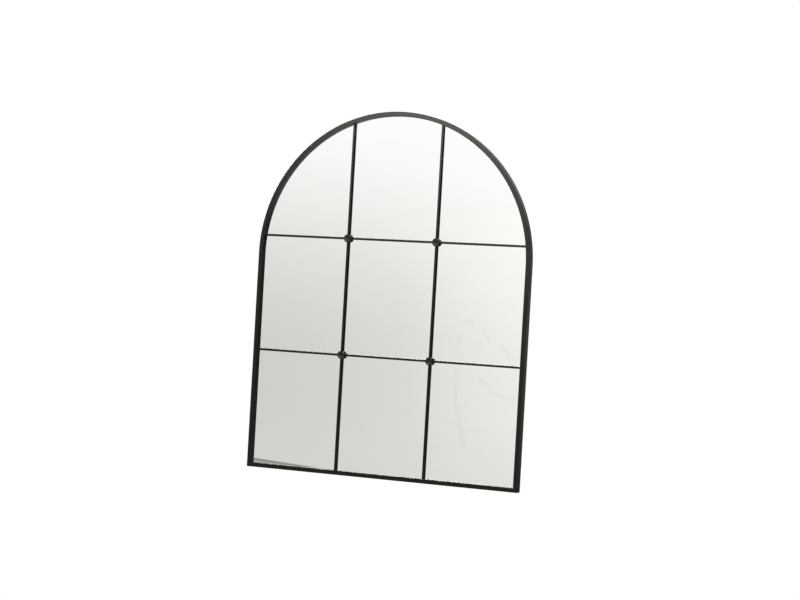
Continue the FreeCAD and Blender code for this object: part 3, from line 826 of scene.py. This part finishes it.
def floor_material(colour):
    """Pale floor that keeps the shadow near the mirror and is white far off."""
    material, tree, shader = new_material("pale floor", Roughness=0.9)
    place = object_coordinates(tree)
    speckle = noise_node(tree, place, scale=60.0, detail=4.0)
    feed(tree, shader, "Base Color", mix_colours(
        tree, speckle, shaded(colour, 0.97), tuple(colour)))
    far = remap(tree, vector_length(tree, place), *FLOOR_FADE)
    seen = seen_rays(tree, add_node(tree, "ShaderNodeLightPath").outputs)
    white = add_node(tree, "ShaderNodeEmission", {"Color": WHITE, "Strength": 1.0})
    blend = add_node(tree, "ShaderNodeMixShader", {
        0: math_node(tree, "MULTIPLY", far, seen), 1: shader.outputs[0], 2: white.outputs[0]})
    tree.links.new(blend.outputs[0], tree.nodes["Material Output"].inputs["Surface"])
    return material


def ramp(tree, value, stops):
    """Colour ramp with smooth steps between evenly spaced colours."""
    item = add_node(tree, "ShaderNodeValToRGB", {0: value})
    item.color_ramp.interpolation = "B_SPLINE"
    spots = item.color_ramp.elements
    while len(spots) < len(stops):
        spots.new(0.5)
    for number, colour in enumerate(stops):
        spots[number].position = number / (len(stops) - 1)
        spots[number].color = (*colour, 1)
    return item.outputs[0]


def glowing_material(name):
    """Material that only gives light, which show_light adds."""
    material, tree, shader = new_material(name)
    tree.nodes.remove(shader)
    return material, tree


def show_light(tree, colour, strength):
    light = add_node(tree, "ShaderNodeEmission", {"Color": colour, "Strength": strength})
    tree.links.new(light.outputs[0], tree.nodes["Material Output"].inputs["Surface"])


def card_shade(tree, across, height):
    """Painted shade on the reflected backdrop: at its folds, on its floor and along the line where
    they meet.
    """
    fold_shade = 1.0
    for points, width, depth in CREASES:
        for start, end in zip(points, points[1:]):
            fold = place_group(
                tree, "Cloth crease", Start=(*start, 0), End=(*end, 0), Width=width)["Shade"]
            kept = math_node(tree, "SUBTRACT", 1.0, math_node(tree, "MULTIPLY", fold, depth))
            fold_shade = math_node(tree, "MINIMUM", fold_shade, kept)
    fall = math_node(tree, "MULTIPLY", across, CARD_FLOOR_FALL)
    over_floor = math_node(tree, "SUBTRACT", math_node(tree, "ADD", height, fall), CARD_FLOOR)
    distance = math_node(tree, "ABSOLUTE", over_floor, 0.0)
    line = remap(tree, distance, 0.0, CARD_LINE_WIDTH, 1.0 - CARD_LINE_DEPTH, 1.0)
    ground = remap(tree, over_floor, -0.002, 0.002, CARD_FLOOR_SHADE, 1.0)
    return math_node(tree, "MULTIPLY", fold_shade, math_node(tree, "MULTIPLY", line, ground))


def card_material():
    """Glowing backdrop that the mirror shows, with a studio's light painted on it: grey-green low
    on the left, white high on the right.
    """
    material, tree = glowing_material("reflected backdrop")
    place = object_coordinates(tree)
    across = axis_of(tree, place, "X")
    height = axis_of(tree, place, "Y")
    upward = mix_colours(
        tree, remap(tree, height, *CARD_CHANGE, kind="SMOOTHSTEP"), CARD_LOW, CARD_HIGH)

    # The left side is darker and the right side lighter, most of all at middle height.
    side = remap(tree, across, -0.9, 0.825, -1.2, 1.1)
    growth = math_node(tree, "MULTIPLY", side, CARD_LIFT_GROWTH)
    slope = math_node(tree, "ADD", growth, CARD_LIFT)
    lift = math_node(tree, "MULTIPLY", side, slope)
    for low, high, first, last in ((0.3, 0.9, 1.0, 0.12), (-0.95, -0.6, 0.5, 1.0)):
        lift = math_node(tree, "MULTIPLY", lift, remap(tree, height, low, high, first, last))

    # A warm glow lies low on the right.
    glow = 1.0
    for value, low, high, first, last in (
            (across, 0.0, 0.55, 0.0, 1.0),
            (height, -1.0, -0.3, 0.2, 1.0),
            (height, -0.05, 0.45, 1.0, 0.0)):
        part = remap(tree, value, low, high, first, last, "SMOOTHSTEP")
        glow = math_node(tree, "MULTIPLY", glow, part)
    warm = vector_node(tree, "MULTIPLY", glow, CARD_GLOW)

    lit = vector_node(tree, "ADD", vector_node(tree, "ADD", upward, lift), warm)
    tone = vector_node(tree, "MULTIPLY", lit, card_shade(tree, across, height))

    # Past the parts that the camera sees, the card fades into the white room.
    rim = math_node(
        tree, "MAXIMUM",
        remap(tree, across, -1.22, -0.82, 1.0, 0.0, "SMOOTHSTEP"),
        remap(tree, across, 0.9, 1.7, 0.0, 1.0, "SMOOTHSTEP"))
    foot = remap(tree, height, -1.10, -0.975, 1.0, 0.0, "SMOOTHSTEP")
    rim = math_node(tree, "MAXIMUM", rim, foot)
    show_light(tree, mix_colours(tree, rim, tone, CARD_RIM), CARD_STRENGTH)
    return material


def rear_card_material(glow):
    """Glowing card behind the mirror, darker low down, whose painted light the sides of the frame
    show.
    """
    material, tree = glowing_material("rear card")
    height = axis_of(tree, object_coordinates(tree), "Y")
    light_levels = [(level, level, level) for level in REAR_CARD_LIGHT_LEVELS]
    show_light(tree, ramp(tree, remap(tree, height, -1.1, 1.1), light_levels), glow)
    return material


def soft_lamp(name, place, target, size, power):
    """Rectangular lamp that faces a point."""
    data = bpy.data.lights.new(name, "AREA")
    data.shape = "RECTANGLE"
    data.size, data.size_y = size
    data.energy = power
    lamp = bpy.data.objects.new(name, data)
    lamp.location = place
    lamp.rotation_euler = (Vector(target) - Vector(place)).to_track_quat("-Z", "Y").to_euler()
    bpy.context.scene.collection.objects.link(lamp)


def white_room(strength):
    """World that looks white, lights the object softly and is dim in reflections of reflections."""
    world = bpy.data.worlds.new("white room")
    bpy.context.scene.world = world
    world.use_nodes = True
    tree = world.node_tree
    rays = add_node(tree, "ShaderNodeLightPath").outputs
    few_bounces = math_node(tree, "LESS_THAN", rays["Ray Depth"], BRIGHT_BOUNCES)
    kept = remap(tree, few_bounces, 0.0, 1.0, DIMMED_WORLD, 1.0)
    background = tree.nodes["Background"]
    background.inputs["Color"].default_value = WHITE
    shown = remap(tree, seen_rays(tree, rays), 0.0, 1.0, strength, 1.0)
    tree.links.new(math_node(tree, "MULTIPLY", shown, kept), background.inputs["Strength"])


def photo_camera(studio):
    """Camera at the photograph's place and angle."""
    data = bpy.data.cameras.new("camera")
    data.sensor_width = 36
    data.sensor_fit = "HORIZONTAL"
    data.lens = studio.focal_length
    data.clip_end = 60
    camera = bpy.data.objects.new("camera", data)
    turn = (
        Matrix.Rotation(studio.camera_yaw, 4, "Z")
        @ Matrix.Rotation(math.pi / 2 + studio.camera_pitch, 4, "X")
        @ Matrix.Rotation(studio.camera_roll, 4, "Z"))
    camera.matrix_world = Matrix.Translation(studio.camera_place) @ turn
    bpy.context.scene.collection.objects.link(camera)
    bpy.context.scene.camera = camera


class MIRROR_OT_stage(bpy.types.Operator):
    """Floor, reflected backdrop, soft lamps, white room and camera"""

    bl_idname = "mirror.stage"
    bl_label = "Studio"

    def execute(self, context):
        studio = context.scene.mirror_studio
        floor_height = CAD_BOUNDS[0][2] - studio.floor_drop
        stage_plane(
            "floor", FLOOR_CORNERS, Matrix.Translation((0, 0, floor_height)),
            floor_material(studio.floor_colour))
        upright = Matrix.Rotation(math.pi / 2, 4, "X")
        card_place = Matrix.Translation((CARD_SIDE, -studio.card_distance, CARD_HEIGHT))
        card = stage_plane("backdrop_card", CARD_CORNERS, card_place @ upright, card_material())
        card.visible_camera = False
        rear_place = (
            Matrix.Translation(REAR_CARD_PLACE) @ Matrix.Rotation(REAR_CARD_ROLL, 4, "Y"))
        rear = stage_plane(
            "rear_card", REAR_CARD_CORNERS, rear_place @ upright,
            rear_card_material(studio.rear_glow))
        rear.visible_camera = False
        softbox_place = (studio.softbox_side, -SOFTBOX_DISTANCE, studio.softbox_height)
        soft_lamp("front softbox", softbox_place, SOFTBOX_AIM, SOFTBOX_SIZE, studio.front_power)
        soft_lamp("back lamp", BACK_LAMP_PLACE, (0, 0, 0), BACK_LAMP_SIZE, studio.back_power)
        white_room(studio.room_light)
        photo_camera(studio)
        context.scene.view_settings.view_transform = "Standard"
        return {"FINISHED"}


# ---------------------------------------------------------------- panel and registration

class MIRROR_PT_panel(bpy.types.Panel):
    """Steps and settings of the mirror"""

    bl_idname = "MIRROR_PT_panel"
    bl_label = "Arched window mirror"
    bl_space_type = "VIEW_3D"
    bl_region_type = "UI"
    bl_category = "Mirror"

    def draw(self, context):
        for operator in OPERATORS:
            self.layout.operator(operator.bl_idname)
        for attribute, group in SETTINGS.items():
            box = self.layout.box()
            settings = getattr(context.scene, attribute)
            for field in group.__annotations__:
                box.prop(settings, field)


SETTINGS = {
    "mirror_paint": PaintFinish,
    "mirror_glass": MirrorFinish,
    "mirror_back": BackFinish,
    "mirror_welds": WeldSizes,
    "mirror_studio": Studio,
}
OPERATORS = [
    MIRROR_OT_frame, MIRROR_OT_bars, MIRROR_OT_rosettes, MIRROR_OT_glass, MIRROR_OT_board,
    MIRROR_OT_fasteners, MIRROR_OT_hangers, MIRROR_OT_welds, MIRROR_OT_stage,
]


def register():
    for item in [*SETTINGS.values(), *OPERATORS, MIRROR_PT_panel]:
        bpy.utils.register_class(item)
    for attribute, group in SETTINGS.items():
        setattr(bpy.types.Scene, attribute, PointerProperty(type=group))


def unregister():
    for attribute in SETTINGS:
        delattr(bpy.types.Scene, attribute)
    for item in [MIRROR_PT_panel, *reversed(OPERATORS), *reversed(SETTINGS.values())]:
        bpy.utils.unregister_class(item)


def main():
    register()
    bpy.ops.mirror.frame()
    bpy.ops.mirror.bars()
    bpy.ops.mirror.rosettes()
    bpy.ops.mirror.glass()
    bpy.ops.mirror.board()
    bpy.ops.mirror.fasteners()
    bpy.ops.mirror.hangers()
    bpy.ops.mirror.welds()
    bpy.ops.mirror.stage()


if __name__ == "__main__":
    main()
